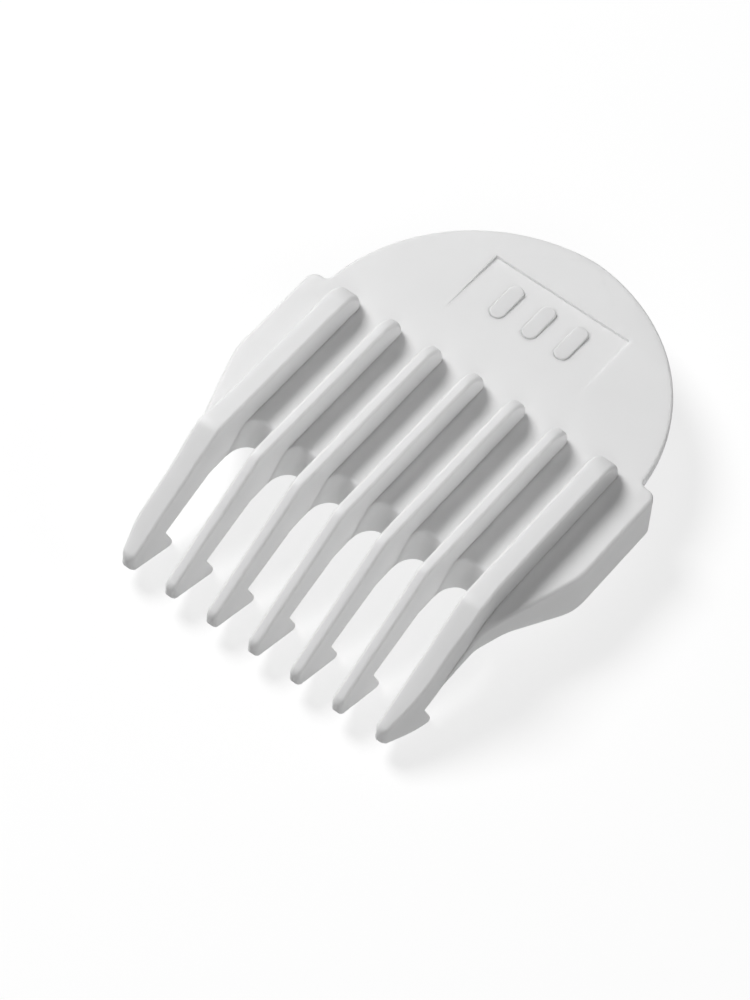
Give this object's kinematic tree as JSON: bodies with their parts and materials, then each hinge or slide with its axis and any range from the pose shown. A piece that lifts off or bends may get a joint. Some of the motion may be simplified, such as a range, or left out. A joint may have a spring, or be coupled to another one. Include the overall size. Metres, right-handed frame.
{
  "type": "clipper guard comb",
  "caption": "Push-on hair clipper guard comb with bent hooked teeth, raised ribs, skirted side walls and a rounded thumb tab.",
  "frame": {"origin": "middle of the blade seat, on the underside of the base plate", "axes": "+X across the teeth, +Y from the tooth tips towards the thumb tab, +Z towards the skin side where the ribs stand"},
  "size_m": [0.0418, 0.0539, 0.0115],
  "materials": {
    "body_plastic": "semi-gloss moulded off-white plastic"
  },
  "bodies": {
    "root": {"base_plate": "body_plastic", "hook_1": "body_plastic", "hook_2": "body_plastic", "hook_3": "body_plastic", "hook_4": "body_plastic", "hook_5": "body_plastic", "hook_6": "body_plastic", "hook_7": "body_plastic", "length_mark": "body_plastic", "rib_1": "body_plastic", "rib_2": "body_plastic", "rib_3": "body_plastic", "rib_4": "body_plastic", "rib_5": "body_plastic", "rib_6": "body_plastic", "rib_7": "body_plastic", "side_wall_left": "body_plastic", "side_wall_right": "body_plastic", "thumb_tab": "body_plastic", "tooth_1": "body_plastic", "tooth_2": "body_plastic", "tooth_3": "body_plastic", "tooth_4": "body_plastic", "tooth_5": "body_plastic", "tooth_6": "body_plastic", "tooth_7": "body_plastic", "tooth_webs": "body_plastic"}
  },
  "joints": []
}
